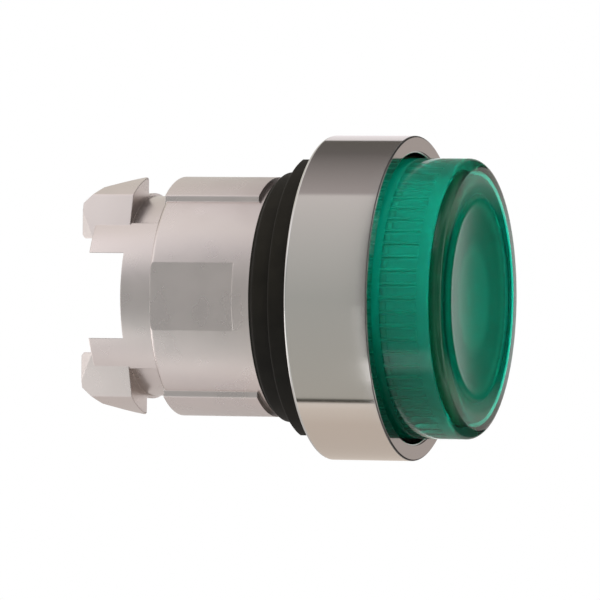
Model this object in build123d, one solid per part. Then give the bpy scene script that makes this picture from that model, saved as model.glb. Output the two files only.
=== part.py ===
from build123d import *
from math import radians, sin, sqrt
import os

# Head of an illuminated push button for a 22.5 mm panel hole. All lengths are in millimetres.
# The axis is Y: the lens faces -Y, the hooks at the rear point to +Y and +Z is up.
# The origin is on the axis, in the plane where the panel's face meets the gasket flange.

# Fits
RUN_GAP = 0.05  # radial, between pieces that slide on each other
SEAT_GAP = 0.03  # radial, between pieces that are pressed or clipped together
END_GAP = 0.05  # axial, where a moving piece comes to its stop

# Panel hole that the head is made for
PANEL_HOLE_R = 11.25
BEAD_HOLE_GAP = 0.05  # radial, round the gasket's bead
PAD_HOLE_GAP = 0.5  # radial, over the raised pads

# Stroke of the button
TRAVEL = 4.3
STROKE_SPARE = 0.4  # left between the plunger flange and the body when fully pressed

# Bezel
BEZEL_LENGTH = 7.7
BEZEL_WALL = 1.55
BEZEL_SEAT_WALL = 1.05
BEZEL_FRONT_ROUND = 0.15
BEZEL_REAR_ROUND = 0.3
BEZEL_BORE_ROUND = 0.2

# Panel gasket
GASKET_FLANGE_RIM = 1.5  # how far the flange reaches out past the bead
GASKET_FLAT_RIM = 1.1  # the same at the two small flats, at the top and the bottom
GASKET_FLANGE_T = 2.1
GASKET_BEAD_LENGTH = 1.9
GASKET_BEAD_LEAD = 0.3
GASKET_SLEEVE_PROUD = 0.45  # how far the sleeve stands out over the barrel
GASKET_SLEEVE_WALL = 0.8
GASKET_SLEEVE_LENGTH = 2.4
GASKET_ROUND = 0.2

# Cast body
BODY_FLANGE_T = 2.1
BODY_FLANGE_RIM = 0.72  # how far the flange reaches out past the gasket
MAIN_LENGTH = 11.9
MAIN_ROUND = 0.3
SHOULDER_HEIGHT = 1.05  # radial step from the barrel down to the collar
COLLAR_LENGTH = 3.0
PRONG_LENGTH = 3.3
PRONG_ROUND = 0.15
SOCKET_WALL = 1.35
BUSH_STOP_HEIGHT = 0.48  # radial step in the bore that the guide bush stops at
SEAL_SHELF = 0.32  # radial step in the bore beside the front of the bush
NOTCH_WIDTH = 7.6
FLAT_DEPTH = 0.45
FLAT_START_Y = 4.1

# Raised pads on the top and the bottom of the body
PAD_HEIGHT = 0.45
PAD_WIDTH = 11.8
PAD_SLIT = 0.65
PAD_ROUND = 0.2

# Hooks that hold the contact block's collar
LUG_HEIGHT = 1.55  # radial, over the collar
LUG_SIDE_DROP = 2.95  # from the top of the collar down to the foot of the lug's side
LUG_INNER_X = 1.8
LUG_TOP_FLAT = 0.05
LUG_ROUND = 0.25
RAMP_END_HEIGHT = 0.45  # over the collar
NOSE_LENGTH = 1.35
NOSE_CHAMFER = 1.45
NOSE_DROP = 4.15  # from the top of the collar down to the underside of the nose
NOSE_SIDE_BEVEL = 0.8
NOSE_SIDE_LENGTH = 1.3
NOSE_EDGE = 0.3
NECK_RELIEF = 0.25
NECK_DROP = 2.75  # from the top of the collar down to the end of the neck's step

# Lens cap
LENS_SIDE_GAP = 0.45  # radial, between the lens and the bezel
LENS_PROUD = 6.0
LENS_REAR_SHY = 0.1  # how far the lens ends short of the plunger flange's rear
LENS_WALL = 1.1
LENS_FRONT_T = 1.3
LENS_EDGE_ROUND = 1.0
LENS_REAR_ROUND = 0.15
DISH_RIM = 3.7
DISH_DEPTH = 0.6
DISH_BLEND = 4.0
FLUTE_COUNT = 60
FLUTE_WIDTH = 0.22
FLUTE_DEPTH = 0.2
SNAP_BEAD = 0.25
SNAP_BEAD_LENGTH = 0.4
SNAP_BEAD_INSET = 0.45

# Plunger
TUBE_WALL = 1.3
PLUNGER_FLANGE_T = 1.1
HEAD_WALL = 1.0
TAIL_STEP = 0.5
TAIL_END = 0.45
KEY_WIDTH = 2.0
KEY_HEIGHT = 0.5
KEY_LENGTH = 6.0
KEY_INSET = 1.3  # from the front of the bush, when the button is out

# Pieces inside the lens
DIFFUSER_T = 1.0
DIFFUSER_SIDE_GAP = 0.3
REFLECTOR_WALL = 0.65
REFLECTOR_LIP = 0.7
LENS_SEAL_WIRE = 0.55

# Guide, seals and spring
BUSH_WALL = 1.2
BUSH_LENGTH = 8.0
SEAL_HEIGHT = 1.3
SEAL_RING_WALL = 0.6
SEAL_LIP_T = 0.25
WASHER_T = 0.5
WASHER_INNER_GAP = 0.25
SPRING_WIRE = 0.6
SPRING_SIDE_GAP = 0.4
SPRING_TURNS = 7.0
THRUST_WASHER_T = 0.4
THRUST_WASHER_WALL = 1.3
BEZEL_SEAL_GROOVE_DEPTH = 0.67
BEZEL_SEAL_GROOVE_WIDTH = 0.85

# Crown that pushes the contact blocks
STOP_RING_T = 0.35
CROWN_SIDE_GAP = 0.15
CROWN_T = 1.4
FOOT_LENGTH = 1.4
FOOT_SHY = 0.5  # how far the feet end short of the collar's rim at rest
FOOT_WALL = 0.7
FOOT_ANGLE = 50.0
CLIP_T = 0.36
CLIP_WALL = 0.62
CLIP_GROOVE_DEPTH = 0.25
CLIP_OPENING = 3.0

# Places along the axis, from the front to the rear
BEZEL_REAR_Y = -GASKET_FLANGE_T
BEZEL_FRONT_Y = BEZEL_REAR_Y - BEZEL_LENGTH
BODY_FRONT_Y = BEZEL_REAR_Y - BODY_FLANGE_T
LENS_FRONT_Y = BEZEL_FRONT_Y - LENS_PROUD
LENS_FLOOR_Y = LENS_FRONT_Y + LENS_FRONT_T
PLUNGER_FLANGE_Y = BODY_FRONT_Y - TRAVEL - STROKE_SPARE
LENS_REAR_Y = PLUNGER_FLANGE_Y - LENS_REAR_SHY
WEB_FRONT_Y = PLUNGER_FLANGE_Y - PLUNGER_FLANGE_T
HEAD_FRONT_Y = LENS_FLOOR_Y + END_GAP + DIFFUSER_T
FLUTE_START_Y = HEAD_FRONT_Y + END_GAP
FLUTE_END_Y = WEB_FRONT_Y - END_GAP
SHOULDER_Y = MAIN_LENGTH
COLLAR_END_Y = SHOULDER_Y + COLLAR_LENGTH
PRONG_END_Y = COLLAR_END_Y + PRONG_LENGTH
NOSE_END_Y = PRONG_END_Y + NOSE_LENGTH
PAD_START_Y = GASKET_SLEEVE_LENGTH + PAD_SLIT
LUG_BACK_Y = COLLAR_END_Y

# Radii from the panel hole inwards: pads, barrel, collar, socket, bush, plunger
PAD_R = PANEL_HOLE_R - PAD_HOLE_GAP
MAIN_R = PAD_R - PAD_HEIGHT
COLLAR_R = MAIN_R - SHOULDER_HEIGHT
SOCKET_R = COLLAR_R - SOCKET_WALL
BUSH_SEAT_R = SOCKET_R + BUSH_STOP_HEIGHT
BUSH_R = BUSH_SEAT_R - SEAT_GAP
BUSH_BORE_R = BUSH_R - BUSH_WALL
TUBE_R = BUSH_BORE_R - RUN_GAP
TUBE_BORE_R = TUBE_R - TUBE_WALL
TAIL_R = TUBE_R - TAIL_STEP
CLIP_GROOVE_R = TAIL_R - CLIP_GROOVE_DEPTH
CROWN_R = SOCKET_R - CROWN_SIDE_GAP
RECESS_R = BUSH_SEAT_R + SEAL_SHELF
SPRING_R = RECESS_R - SPRING_SIDE_GAP - SPRING_WIRE / 2

# Radii from the panel hole outwards: gasket, body flange, bezel, lens
GASKET_BEAD_R = PANEL_HOLE_R - BEAD_HOLE_GAP
GASKET_SLEEVE_R = MAIN_R + GASKET_SLEEVE_PROUD
NECK_R = GASKET_SLEEVE_R - GASKET_SLEEVE_WALL
GASKET_FLANGE_R = GASKET_BEAD_R + GASKET_FLANGE_RIM
GASKET_FLAT_Z = GASKET_BEAD_R + GASKET_FLAT_RIM
BODY_FLANGE_R = GASKET_FLANGE_R + BODY_FLANGE_RIM
BEZEL_SEAL_GROOVE_R = BODY_FLANGE_R - BEZEL_SEAL_GROOVE_DEPTH
BEZEL_SEAT_R = BODY_FLANGE_R + SEAT_GAP
BEZEL_R = BEZEL_SEAT_R + BEZEL_SEAT_WALL
BEZEL_BORE_R = BEZEL_R - BEZEL_WALL
LENS_R = BEZEL_BORE_R - LENS_SIDE_GAP
LENS_SEAT_R = LENS_R - LENS_WALL
LENS_CORE_R = LENS_SEAT_R - FLUTE_DEPTH
DISH_R = LENS_R - DISH_RIM
DIFFUSER_R = LENS_CORE_R - DIFFUSER_SIDE_GAP
PLUNGER_FLANGE_R = LENS_SEAT_R - SEAT_GAP
HEAD_R = LENS_CORE_R - LENS_SEAL_WIRE - RUN_GAP
HEAD_BORE_R = HEAD_R - HEAD_WALL

# Heights of the hooks, from the top of the collar
LUG_R = COLLAR_R + LUG_HEIGHT
LUG_TOP_Z = LUG_R - LUG_TOP_FLAT
LUG_BASE_Z = COLLAR_R - LUG_SIDE_DROP
RAMP_END_Z = COLLAR_R + RAMP_END_HEIGHT
NOSE_BASE_Z = COLLAR_R - NOSE_DROP
NECK_BASE_Z = COLLAR_R - NECK_DROP

# The guide bush stops at the step in the bore; the seal, its washer and the spring stand on it
CROWN_FRONT_Y = COLLAR_END_Y - FOOT_SHY - FOOT_LENGTH - CROWN_T
BUSH_REAR_Y = CROWN_FRONT_Y - STOP_RING_T - END_GAP
BUSH_FRONT_Y = BUSH_REAR_Y - BUSH_LENGTH
SEAL_FRONT_Y = BUSH_FRONT_Y - SEAL_HEIGHT
WASHER_FRONT_Y = SEAL_FRONT_Y - WASHER_T
CROWN_REAR_Y = CROWN_FRONT_Y + CROWN_T
CLIP_GROOVE_END_Y = CROWN_REAR_Y + CLIP_T + 2 * SEAT_GAP
TAIL_END_Y = CLIP_GROOVE_END_Y + TAIL_END


def turned(corners):
    """Turn an outline about the Y axis. A corner is (radius, y) or (radius, y, rounding)."""
    outline = make_face(Polyline([corner[:2] for corner in corners], close=True))
    for corner in corners:
        if len(corner) == 3:
            vertex = outline.vertices().sort_by_distance((corner[0], corner[1], 0))[0]
            outline = fillet(vertex, corner[2])
    return revolve(outline, Axis.Y)


def along_y(outline, start_y, end_y):
    """Extrude an outline drawn in X and Z from one place on the axis to another."""
    return extrude(Plane.XZ.offset(-end_y) * outline, end_y - start_y)


def across_x(outline, half_width):
    """Extrude an outline drawn in Y and Z to both sides of the YZ plane."""
    return extrude(Plane.YZ * outline, half_width, both=True)


def outline_through(points):
    """Flat outline through corner points."""
    return make_face(Polyline(points, close=True))


def rounded_at(outline, point, radius):
    """Round the corner of a flat outline that lies nearest to a point."""
    return fillet(outline.vertices().sort_by_distance((point[0], point[1], 0))[0], radius)


def o_ring(ring_radius, y, section_radius):
    """Ring of round section about the Y axis."""
    section = Pos(ring_radius, y) * Circle(section_radius)
    return revolve(section, Axis.Y)


def top_and_bottom(solid):
    """The solid and its mirror image below the XY plane."""
    return solid + mirror(solid, Plane.XY)


def body_shell():
    """Turned form of the casting: flange with its seal groove, gasket neck, barrel and collar."""
    groove_middle = (BODY_FRONT_Y + BEZEL_REAR_Y) / 2
    groove_front = groove_middle - BEZEL_SEAL_GROOVE_WIDTH / 2
    groove_rear = groove_middle + BEZEL_SEAL_GROOVE_WIDTH / 2
    return turned([
        (RECESS_R, BODY_FRONT_Y),
        (BODY_FLANGE_R, BODY_FRONT_Y),
        (BODY_FLANGE_R, groove_front),
        (BEZEL_SEAL_GROOVE_R, groove_front),
        (BEZEL_SEAL_GROOVE_R, groove_rear),
        (BODY_FLANGE_R, groove_rear),
        (BODY_FLANGE_R, BEZEL_REAR_Y),
        (NECK_R, BEZEL_REAR_Y),
        (NECK_R, GASKET_SLEEVE_LENGTH),
        (MAIN_R, GASKET_SLEEVE_LENGTH),
        (MAIN_R, SHOULDER_Y, MAIN_ROUND),
        (COLLAR_R, SHOULDER_Y),
        (COLLAR_R, PRONG_END_Y, PRONG_ROUND),
        (SOCKET_R, PRONG_END_Y, PRONG_ROUND),
        (SOCKET_R, BUSH_REAR_Y),
        (BUSH_SEAT_R, BUSH_REAR_Y),
        (BUSH_SEAT_R, BUSH_FRONT_Y),
        (RECESS_R, BUSH_FRONT_Y),
    ])


def pad():
    """Raised pad along the top of the barrel, with planar side walls."""
    edge_z = sqrt(PAD_R**2 - (PAD_WIDTH / 2)**2)
    outline = Circle(PAD_R) & Pos(0, PAD_R) * Rectangle(PAD_WIDTH, 2 * (PAD_R - NECK_BASE_Z))
    outline = rounded_at(outline, (PAD_WIDTH / 2, edge_z), PAD_ROUND)
    outline = rounded_at(outline, (-PAD_WIDTH / 2, edge_z), PAD_ROUND)
    outline -= Circle((MAIN_R + BUSH_SEAT_R) / 2)
    return along_y(outline, PAD_START_Y, SHOULDER_Y)


def hook():
    """Upper hook: a lug on the near side of the prong and the nose that both share."""
    crest_x = PAD_WIDTH / 2
    crest_z = sqrt(LUG_R**2 - crest_x**2)
    base_x = sqrt(COLLAR_R**2 - LUG_BASE_Z**2)
    slope = (base_x - crest_x) / (crest_z - LUG_BASE_Z)
    foot_x = base_x + slope * (LUG_BASE_Z - NOSE_BASE_Z)
    tip_z = crest_z + (crest_z - LUG_BASE_Z)
    tip_x = crest_x - slope * (tip_z - crest_z)
    lug_space = outline_through([
        (-base_x, LUG_BASE_Z), (-tip_x, tip_z), (-LUG_INNER_X, tip_z), (-LUG_INNER_X, LUG_BASE_Z),
    ])
    lug_outline = Circle(LUG_R) & lug_space
    lug_outline = rounded_at(lug_outline, (-crest_x, crest_z), LUG_ROUND)
    lug_outline -= Circle(SOCKET_R)
    nose_space = outline_through([
        (-foot_x, NOSE_BASE_Z), (-tip_x, tip_z), (tip_x, tip_z), (foot_x, NOSE_BASE_Z),
    ])
    nose_outline = (Circle(COLLAR_R) & nose_space) - Circle(SOCKET_R)
    lug = along_y(lug_outline, LUG_BACK_Y, NOSE_END_Y)
    nose = along_y(nose_outline, PRONG_END_Y - PRONG_ROUND, NOSE_END_Y)
    side_view = outline_through([
        (LUG_BACK_Y, NOSE_BASE_Z),
        (LUG_BACK_Y, LUG_TOP_Z),
        (NOSE_END_Y - NOSE_CHAMFER, RAMP_END_Z),
        (NOSE_END_Y, RAMP_END_Z - NOSE_CHAMFER),
        (NOSE_END_Y, NOSE_BASE_Z + NOSE_EDGE),
        (NOSE_END_Y - NOSE_EDGE, NOSE_BASE_Z),
    ])
    side_view = rounded_at(side_view, (LUG_BACK_Y, LUG_TOP_Z), LUG_ROUND)
    top_view = outline_through([
        (-foot_x, LUG_BACK_Y),
        (-foot_x, NOSE_END_Y - NOSE_SIDE_LENGTH),
        (-foot_x + NOSE_SIDE_BEVEL, NOSE_END_Y),
        (foot_x - NOSE_SIDE_BEVEL, NOSE_END_Y),
        (foot_x, NOSE_END_Y - NOSE_SIDE_LENGTH),
        (foot_x, LUG_BACK_Y),
    ])
    return (lug + nose) & across_x(side_view, LUG_R) & extrude(top_view, tip_z)


def neck_relief():
    """Shallow step round the neck, between the shoulder and the back of the hook."""
    outline = Circle(LUG_R) - Circle(COLLAR_R - NECK_RELIEF)
    outline &= Pos(0, NECK_BASE_Z + LUG_R) * Rectangle(2 * LUG_R, 2 * LUG_R)
    return along_y(outline, SHOULDER_Y, LUG_BACK_Y)


def barrel_body():
    """Die-cast body: one piece from the flange inside the bezel to the rear hooks."""
    body = body_shell()
    body -= top_and_bottom(neck_relief())
    notch_middle_y = (COLLAR_END_Y + NOSE_END_Y) / 2
    body -= Pos(0, notch_middle_y, 0) * Box(3 * COLLAR_R, NOSE_END_Y - COLLAR_END_Y, NOTCH_WIDTH)
    body += top_and_bottom(pad())
    body += top_and_bottom(hook())
    flat_length = SHOULDER_Y - FLAT_START_Y
    flat = Box(MAIN_R, flat_length, MAIN_R)
    for side in (-1, 1):
        flat_middle_x = side * (MAIN_R - FLAT_DEPTH + MAIN_R / 2)
        body -= Pos(flat_middle_x, FLAT_START_Y + flat_length / 2, 0) * flat
    return body


def bezel_ring():
    """Polished bezel with the stepped bore that takes the body flange."""
    return turned([
        (BEZEL_BORE_R, BEZEL_FRONT_Y, BEZEL_BORE_ROUND),
        (BEZEL_R, BEZEL_FRONT_Y, BEZEL_FRONT_ROUND),
        (BEZEL_R, BEZEL_REAR_Y, BEZEL_REAR_ROUND),
        (BEZEL_SEAT_R, BEZEL_REAR_Y),
        (BEZEL_SEAT_R, BODY_FRONT_Y),
        (BEZEL_BORE_R, BODY_FRONT_Y),
    ])


def bezel_o_ring():
    """Seal in the groove of the body flange, under the bezel."""
    section = (BEZEL_SEAT_R - BEZEL_SEAL_GROOVE_R) / 2
    middle_y = (BODY_FRONT_Y + BEZEL_REAR_Y) / 2
    return o_ring(BEZEL_SEAL_GROOVE_R + section, middle_y, section - SEAT_GAP)


def panel_gasket():
    """Rubber gasket: flange against the panel, bead in the hole and sleeve on the body."""
    gasket = turned([
        (NECK_R + SEAT_GAP, BEZEL_REAR_Y),
        (GASKET_FLANGE_R, BEZEL_REAR_Y),
        (GASKET_FLANGE_R, 0, GASKET_ROUND),
        (GASKET_BEAD_R, 0),
        (GASKET_BEAD_R, GASKET_BEAD_LENGTH),
        (GASKET_SLEEVE_R, GASKET_BEAD_LENGTH + GASKET_BEAD_LEAD),
        (GASKET_SLEEVE_R, GASKET_SLEEVE_LENGTH),
        (NECK_R + SEAT_GAP, GASKET_SLEEVE_LENGTH),
    ])
    between_flats = Rectangle(3 * GASKET_FLANGE_R, 2 * GASKET_FLAT_Z)
    return gasket & along_y(between_flats, BEZEL_REAR_Y, GASKET_SLEEVE_LENGTH)


def guide_bush():
    """Plastic liner that the plunger slides in, with two slots for its keys."""
    bush = turned([
        (BUSH_BORE_R, BUSH_FRONT_Y),
        (BUSH_R, BUSH_FRONT_Y),
        (BUSH_R, BUSH_REAR_Y),
        (BUSH_BORE_R, BUSH_REAR_Y),
    ])
    slot_r = TUBE_R + KEY_HEIGHT + CROWN_SIDE_GAP
    slot_width = KEY_WIDTH + 2 * RUN_GAP
    slots = Circle(slot_r) & Rectangle(slot_width, 2 * slot_r)
    return bush - along_y(slots, BUSH_FRONT_Y, BUSH_REAR_Y)


def lip_seal():
    """Rubber seal that stands on the bush; its lip leans in towards the plunger tube."""
    ring_in = RECESS_R - SEAT_GAP - SEAL_RING_WALL
    lip_r = TUBE_R + RUN_GAP
    web_y = BUSH_FRONT_Y - SEAL_LIP_T
    tip_y = SEAL_FRONT_Y + SEAL_LIP_T
    return turned([
        (RECESS_R - SEAT_GAP, SEAL_FRONT_Y),
        (RECESS_R - SEAT_GAP, BUSH_FRONT_Y),
        (lip_r + SEAL_LIP_T, BUSH_FRONT_Y),
        (lip_r, tip_y + SEAL_LIP_T),
        (lip_r, tip_y),
        (lip_r + SEAL_LIP_T, tip_y),
        (lip_r + 2 * SEAL_LIP_T, web_y),
        (ring_in, web_y),
        (ring_in, SEAL_FRONT_Y),
    ])


def seal_washer():
    """Steel washer between the seal and the return spring."""
    return turned([
        (TUBE_R + WASHER_INNER_GAP, WASHER_FRONT_Y),
        (RECESS_R - SEAT_GAP, WASHER_FRONT_Y),
        (RECESS_R - SEAT_GAP, SEAL_FRONT_Y),
        (TUBE_R + WASHER_INNER_GAP, SEAL_FRONT_Y),
    ])


def thrust_washer():
    """Steel washer between the return spring and the plunger flange."""
    inner_r = TUBE_R + SEAT_GAP
    return turned([
        (inner_r, PLUNGER_FLANGE_Y),
        (inner_r + THRUST_WASHER_WALL, PLUNGER_FLANGE_Y),
        (inner_r + THRUST_WASHER_WALL, PLUNGER_FLANGE_Y + THRUST_WASHER_T),
        (inner_r, PLUNGER_FLANGE_Y + THRUST_WASHER_T),
    ])


def return_spring():
    """Coil spring that pushes the plunger back out."""
    front_y = PLUNGER_FLANGE_Y + THRUST_WASHER_T + SPRING_WIRE / 2 + SEAT_GAP
    rear_y = WASHER_FRONT_Y - SPRING_WIRE / 2 - SEAT_GAP
    length = rear_y - front_y
    path = Helix(length / SPRING_TURNS, length, SPRING_R)
    section = Plane(path @ 0, z_dir=path % 0) * Circle(SPRING_WIRE / 2)
    coil = sweep(section, path=path)
    return Pos(0, rear_y, 0) * Rot(90, 0, 0) * coil


def plunger():
    """Hollow plunger: head under the lens, flange, tube with two keys, and tail."""
    bead_front = PLUNGER_FLANGE_Y - SNAP_BEAD_INSET - SNAP_BEAD_LENGTH / 2 - END_GAP
    bead_rear = PLUNGER_FLANGE_Y - SNAP_BEAD_INSET + SNAP_BEAD_LENGTH / 2 + END_GAP
    groove_r = PLUNGER_FLANGE_R - SNAP_BEAD
    body = turned([
        (HEAD_BORE_R, HEAD_FRONT_Y),
        (HEAD_R, HEAD_FRONT_Y),
        (HEAD_R, WEB_FRONT_Y),
        (PLUNGER_FLANGE_R, WEB_FRONT_Y),
        (PLUNGER_FLANGE_R, bead_front),
        (groove_r, bead_front),
        (groove_r, bead_rear),
        (PLUNGER_FLANGE_R, bead_rear),
        (PLUNGER_FLANGE_R, PLUNGER_FLANGE_Y),
        (TUBE_R, PLUNGER_FLANGE_Y),
        (TUBE_R, CROWN_FRONT_Y),
        (TAIL_R, CROWN_FRONT_Y),
        (TAIL_R, CROWN_REAR_Y),
        (CLIP_GROOVE_R, CROWN_REAR_Y),
        (CLIP_GROOVE_R, CLIP_GROOVE_END_Y),
        (TAIL_R, CLIP_GROOVE_END_Y),
        (TAIL_R, TAIL_END_Y),
        (TUBE_BORE_R, TAIL_END_Y),
        (TUBE_BORE_R, WEB_FRONT_Y),
        (HEAD_BORE_R, WEB_FRONT_Y),
    ])
    keys = Circle(TUBE_R + KEY_HEIGHT) & Rectangle(KEY_WIDTH, 2 * (TUBE_R + KEY_HEIGHT))
    keys -= Circle((TUBE_R + TUBE_BORE_R) / 2)
    key_start = BUSH_FRONT_Y + KEY_INSET
    return body + along_y(keys, key_start, key_start + KEY_LENGTH)


def stop_ring():
    """Rubber ring that quietens the plunger's return against the bush."""
    return turned([
        (TUBE_R + SEAT_GAP, CROWN_FRONT_Y - STOP_RING_T),
        (CROWN_R, CROWN_FRONT_Y - STOP_RING_T),
        (CROWN_R, CROWN_FRONT_Y),
        (TUBE_R + SEAT_GAP, CROWN_FRONT_Y),
    ])


def pusher_crown():
    """Ring on the plunger's tail with two feet, at the sides, that press the contact blocks."""
    crown = turned([
        (TAIL_R + SEAT_GAP, CROWN_FRONT_Y),
        (CROWN_R, CROWN_FRONT_Y),
        (CROWN_R, CROWN_REAR_Y),
        (TAIL_R + SEAT_GAP, CROWN_REAR_Y),
    ])
    half_height = CROWN_R * sin(radians(FOOT_ANGLE / 2))
    feet = (Circle(CROWN_R) - Circle(CROWN_R - FOOT_WALL)) & Rectangle(3 * CROWN_R, 2 * half_height)
    return crown + along_y(feet, CROWN_REAR_Y - CROWN_T / 2, CROWN_REAR_Y + FOOT_LENGTH)


def crown_snap_ring():
    """Open spring ring in the tail's groove, behind the crown."""
    inner_r = CLIP_GROOVE_R + SEAT_GAP
    ring = turned([
        (inner_r, CROWN_REAR_Y + SEAT_GAP),
        (inner_r + CLIP_WALL, CROWN_REAR_Y + SEAT_GAP),
        (inner_r + CLIP_WALL, CROWN_REAR_Y + SEAT_GAP + CLIP_T),
        (inner_r, CROWN_REAR_Y + SEAT_GAP + CLIP_T),
    ])
    opening = Box(CLIP_OPENING, 4 * CLIP_T, 2 * TAIL_R)
    return ring - Pos(0, CROWN_REAR_Y, -TAIL_R) * opening


def lens_cap():
    """Tinted lens: dished face, rounded rim, flutes behind the diffuser and a bead that snaps on."""
    bead_y = PLUNGER_FLANGE_Y - SNAP_BEAD_INSET
    bead_r = LENS_SEAT_R - SNAP_BEAD
    lens = turned([
        (LENS_SEAT_R, LENS_REAR_Y),
        (LENS_R, LENS_REAR_Y, LENS_REAR_ROUND),
        (LENS_R, LENS_FRONT_Y, LENS_EDGE_ROUND),
        (0, LENS_FRONT_Y),
        (0, LENS_FLOOR_Y),
        (LENS_CORE_R, LENS_FLOOR_Y),
        (LENS_CORE_R, FLUTE_END_Y),
        (LENS_SEAT_R, FLUTE_END_Y),
        (LENS_SEAT_R, bead_y - SNAP_BEAD_LENGTH / 2),
        (bead_r, bead_y - SNAP_BEAD_LENGTH / 4),
        (bead_r, bead_y + SNAP_BEAD_LENGTH / 4),
        (LENS_SEAT_R, bead_y + SNAP_BEAD_LENGTH / 2),
    ])
    dish_radius = (DISH_R**2 + DISH_DEPTH**2) / (2 * DISH_DEPTH)
    dish_centre_y = LENS_FRONT_Y + DISH_DEPTH - dish_radius
    lens -= Pos(0, dish_centre_y, 0) * Sphere(dish_radius)
    rim = [e for e in lens.edges().filter_by(GeomType.CIRCLE) if abs(e.radius - DISH_R) < RUN_GAP]
    lens = fillet(rim, DISH_BLEND)
    flute = Rectangle(2 * FLUTE_DEPTH, FLUTE_WIDTH)
    flutes = Sketch() + [place * flute for place in PolarLocations(LENS_CORE_R, FLUTE_COUNT)]
    return lens - along_y(flutes, FLUTE_START_Y, FLUTE_END_Y)


def lens_o_ring():
    """Seal between the lens and the plunger head, on the plunger flange."""
    ring_radius = HEAD_R + SEAT_GAP + LENS_SEAL_WIRE / 2
    return o_ring(ring_radius, WEB_FRONT_Y - LENS_SEAL_WIRE / 2, LENS_SEAL_WIRE / 2)


def light_diffuser():
    """Milky disc behind the lens face, resting on the plunger head."""
    return turned([
        (0, HEAD_FRONT_Y - DIFFUSER_T),
        (DIFFUSER_R, HEAD_FRONT_Y - DIFFUSER_T),
        (DIFFUSER_R, HEAD_FRONT_Y),
        (0, HEAD_FRONT_Y),
    ])


def reflector_cone():
    """White cone that spreads the lamp's light from the tube to the diffuser."""
    outer_r = HEAD_BORE_R - SEAT_GAP
    return turned([
        (TUBE_BORE_R, WEB_FRONT_Y),
        (TUBE_BORE_R + REFLECTOR_WALL, WEB_FRONT_Y),
        (outer_r, HEAD_FRONT_Y + REFLECTOR_LIP),
        (outer_r, HEAD_FRONT_Y),
        (outer_r - REFLECTOR_WALL, HEAD_FRONT_Y),
    ])


PIECES = [
    barrel_body, bezel_ring, bezel_o_ring, panel_gasket, guide_bush, lip_seal, seal_washer,
    return_spring, thrust_washer, plunger, stop_ring, pusher_crown, crown_snap_ring,
    lens_cap, lens_o_ring, light_diffuser, reflector_cone,
]

os.makedirs("parts", exist_ok=True)
for piece in PIECES:
    export_step(piece(), f"parts/{piece.__name__}.step")
    print(piece.__name__)
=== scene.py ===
"""Looks of an illuminated push button head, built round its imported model.

Sizes that a user would change are in the property groups, in metres. The axis is Y: the lens faces
-Y, the rear hooks point to +Y, and +Z is up.
"""

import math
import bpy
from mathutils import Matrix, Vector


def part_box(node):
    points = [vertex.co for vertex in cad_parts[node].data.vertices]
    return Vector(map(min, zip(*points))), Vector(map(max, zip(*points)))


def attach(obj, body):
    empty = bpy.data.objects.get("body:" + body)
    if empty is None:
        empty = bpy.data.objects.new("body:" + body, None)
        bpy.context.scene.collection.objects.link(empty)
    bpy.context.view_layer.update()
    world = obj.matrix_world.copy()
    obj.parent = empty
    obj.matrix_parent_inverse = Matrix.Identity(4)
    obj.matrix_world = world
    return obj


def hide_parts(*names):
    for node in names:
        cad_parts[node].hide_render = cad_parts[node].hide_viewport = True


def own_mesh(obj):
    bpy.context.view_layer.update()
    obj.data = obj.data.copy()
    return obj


bl_info = {
    "name": "Illuminated Push Button Head",
    "version": (1, 0, 0),
    "blender": (4, 5, 0),
    "location": "View3D > Sidebar > Push Button",
    "description": "Dresses the head of an illuminated push button and sets up its studio",
    "category": "Object",
}

import bpy
from bpy.props import FloatProperty, FloatVectorProperty, IntProperty, PointerProperty
from bpy.types import Operator, Panel, PropertyGroup
from mathutils import Matrix, Vector

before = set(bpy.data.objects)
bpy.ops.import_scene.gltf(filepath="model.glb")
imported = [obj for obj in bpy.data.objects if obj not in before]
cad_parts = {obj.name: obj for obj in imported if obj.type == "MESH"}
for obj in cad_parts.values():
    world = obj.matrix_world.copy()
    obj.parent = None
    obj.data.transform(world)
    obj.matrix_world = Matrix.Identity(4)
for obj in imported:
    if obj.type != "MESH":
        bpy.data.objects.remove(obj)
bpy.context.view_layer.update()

MM = 0.001
FULL_TURN = 2 * math.pi
SHARP_ANGLE = math.radians(35)  # faces that meet at more than this keep a sharp edge

# Sockets of the Mix node, which go by number
MIX_FACTOR, MIX_FLOAT_A, MIX_FLOAT_B, MIX_COLOUR_A, MIX_COLOUR_B = 0, 2, 3, 6, 7
MIX_FLOAT_OUT, MIX_COLOUR_OUT = 0, 2

TENT_RADIUS = 58 * MM  # a little less than the floor's drop


def linear(hex_colour):
    """Turn an sRGB colour such as "#1e7a63" to the linear RGB that Blender's sockets take."""
    parts = [int(hex_colour[i:i + 2], 16) / 255 for i in (1, 3, 5)]
    return tuple(p / 12.92 if p <= 0.04045 else ((p + 0.055) / 1.055) ** 2.4 for p in parts)


def rgba(colour):
    """The colour with full alpha."""
    return (*colour[:3], 1.0)


def per_metre(size_mm):
    """Texture scale that repeats once every size_mm millimetres."""
    return 1 / (size_mm * MM)


def radius_of(node):
    """Radius of a turned node about the Y axis."""
    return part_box(node)[1].x


# Property groups: what a user would change

class BodyProps(PropertyGroup):
    """Cast body."""

    colour: FloatVectorProperty(
        name="Colour", description="Reflection of the plated zinc casting", subtype="COLOR",
        default=linear("#d6ccc8"), min=0, max=1,
    )
    roughness: FloatProperty(
        name="Roughness", description="Blur of the satin plating", default=0.3, min=0, max=1,
        subtype="FACTOR",
    )
    edge_round: FloatProperty(
        name="Edge round", description="Radius that the eye sees on the cast edges",
        default=0.1 * MM, min=0, unit="LENGTH",
    )


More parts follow.
